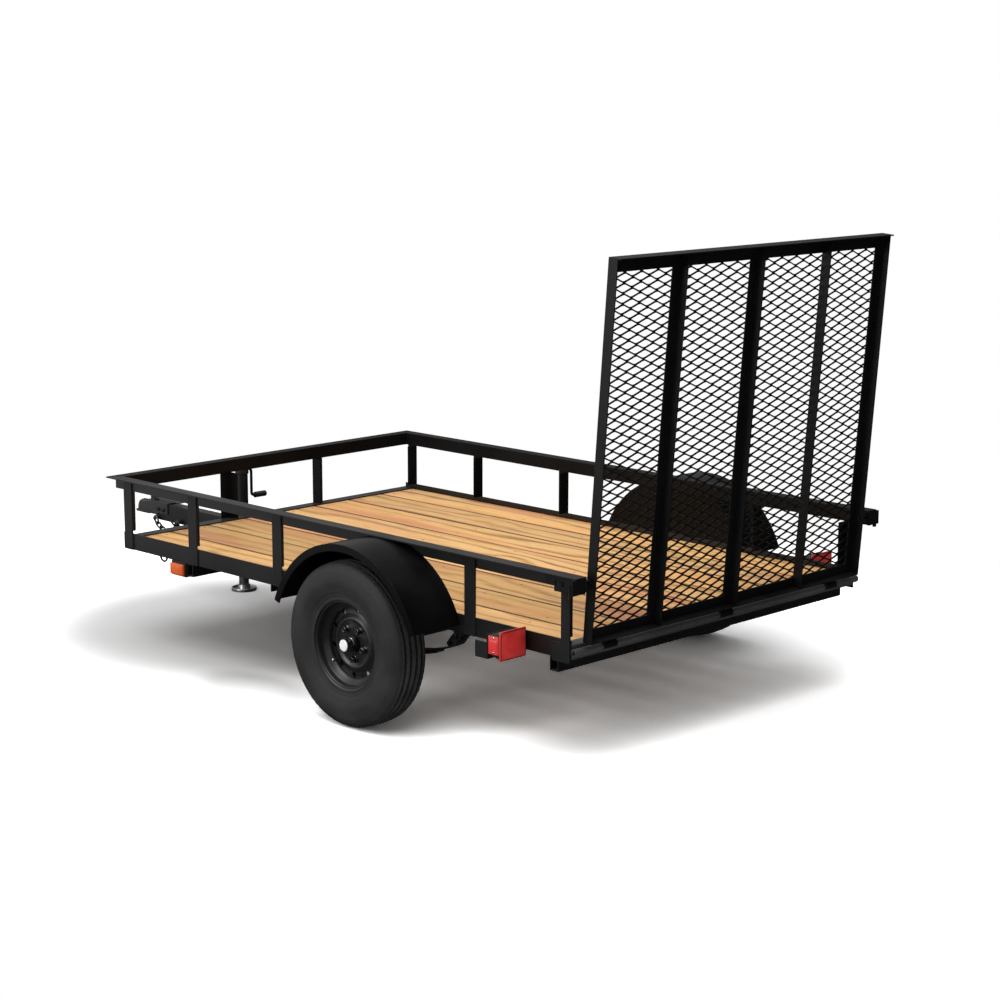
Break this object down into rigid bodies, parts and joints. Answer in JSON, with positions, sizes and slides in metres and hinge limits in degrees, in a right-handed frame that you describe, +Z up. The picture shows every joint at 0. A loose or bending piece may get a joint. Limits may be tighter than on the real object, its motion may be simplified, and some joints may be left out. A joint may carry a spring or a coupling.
{
  "type": "utility trailer",
  "caption": "Utility trailer with an open angle-steel bed, plank floor, round fenders, drawbar with ball coupler, swivel jack and a tall mesh ramp gate at the rear.",
  "frame": {"origin": "middle of the bounding box on the ground", "axes": "+X forward to the coupler, +Y to the left, +Z up"},
  "size_m": [3.548, 1.968, 1.6823],
  "materials": {
    "frame_paint": "semi-gloss black paint over steel angle",
    "gate_paint": "semi-gloss black paint",
    "fender_paint": "smooth gloss black paint",
    "running_gear_paint": "matt black paint",
    "board_wood": "pale treated softwood planks with open grain",
    "tyre_rubber": "matt black rubber",
    "rim_paint": "gloss black paint",
    "hub_paint": "black paint",
    "bright_plate": "bright plated steel",
    "lamp_red": "red moulded lens",
    "marker_amber": "amber moulded lens",
    "lamp_base": "black plastic base",
    "coupler_paint": "gloss black paint",
    "zinc_steel": "dull zinc plate",
    "jack_paint": "black paint",
    "jack_zinc": "bright zinc plate"
  },
  "bodies": {
    "frame": {"axle": "running_gear_paint", "coupler": "coupler_paint", "coupler_latch": "coupler_paint", "deck_boards": "board_wood", "fender_left": "fender_paint", "fender_right": "fender_paint", "floor_angles": "frame_paint", "front_angle": "frame_paint", "gate_latches": "gate_paint", "hinge_pipes": "frame_paint", "hinge_rod": "zinc_steel", "jack_bracket": "jack_paint", "leaf_springs": "running_gear_paint", "posts_front": "frame_paint", "posts_left": "frame_paint", "posts_right": "frame_paint", "rear_angle": "frame_paint", "safety_chains": "zinc_steel", "side_angle_left": "frame_paint", "side_angle_right": "frame_paint", "side_marker_bases": "lamp_base", "side_markers": "marker_amber", "spring_clamps": "zinc_steel", "spring_hangers": "running_gear_paint", "spring_shackles": "running_gear_paint", "tail_lamp_brackets": "frame_paint", "tail_lamps": "lamp_red", "tie_loops": "frame_paint", "tongue": "frame_paint", "tongue_spacer": "frame_paint", "top_rail_front": "frame_paint", "top_rail_left": "frame_paint", "top_rail_right": "frame_paint", "under_beams": "frame_paint"},
    "wheel_left": {"dust_cap_left": "bright_plate", "hub_left": "hub_paint", "lug_nuts_left": "bright_plate", "rim_left": "rim_paint", "tyre_left": "tyre_rubber"},
    "wheel_right": {"dust_cap_right": "bright_plate", "hub_right": "hub_paint", "lug_nuts_right": "bright_plate", "rim_right": "rim_paint", "tyre_right": "tyre_rubber"},
    "gate": {"gate_frame": "gate_paint", "gate_knuckles": "gate_paint", "gate_mesh": "gate_paint", "gate_uprights": "gate_paint"},
    "jack": {"jack_body": "jack_paint", "jack_crank": "jack_paint"},
    "jack_leg": {"jack_foot": "jack_zinc", "jack_leg": "jack_zinc"}
  },
  "joints": [
    {"name": "wheel_left_spin", "type": "hinge", "parent": "frame", "child": "wheel_left", "pos_m": [-0.72695, 0.906, 0.294], "axis": [0, 1, 0], "continuous": true},
    {"name": "wheel_right_spin", "type": "hinge", "parent": "frame", "child": "wheel_right", "pos_m": [-0.72695, -0.906, 0.294], "axis": [0, 1, 0], "continuous": true},
    {"name": "gate_hinge", "type": "hinge", "parent": "frame", "child": "gate", "pos_m": [-1.62595, 0, 0.398], "axis": [0, -1, 0], "range_deg": [0, 101]},
    {"name": "jack_swivel", "type": "hinge", "parent": "frame", "child": "jack", "pos_m": [1.15305, -0.096, 0.307], "axis": [0, 1, 0], "range_deg": [0, 90]},
    {"name": "jack_extend", "type": "slide", "parent": "jack", "child": "jack_leg", "axis": [0, 0, 1], "range_m": [-0.08, 0.145]}
  ]
}
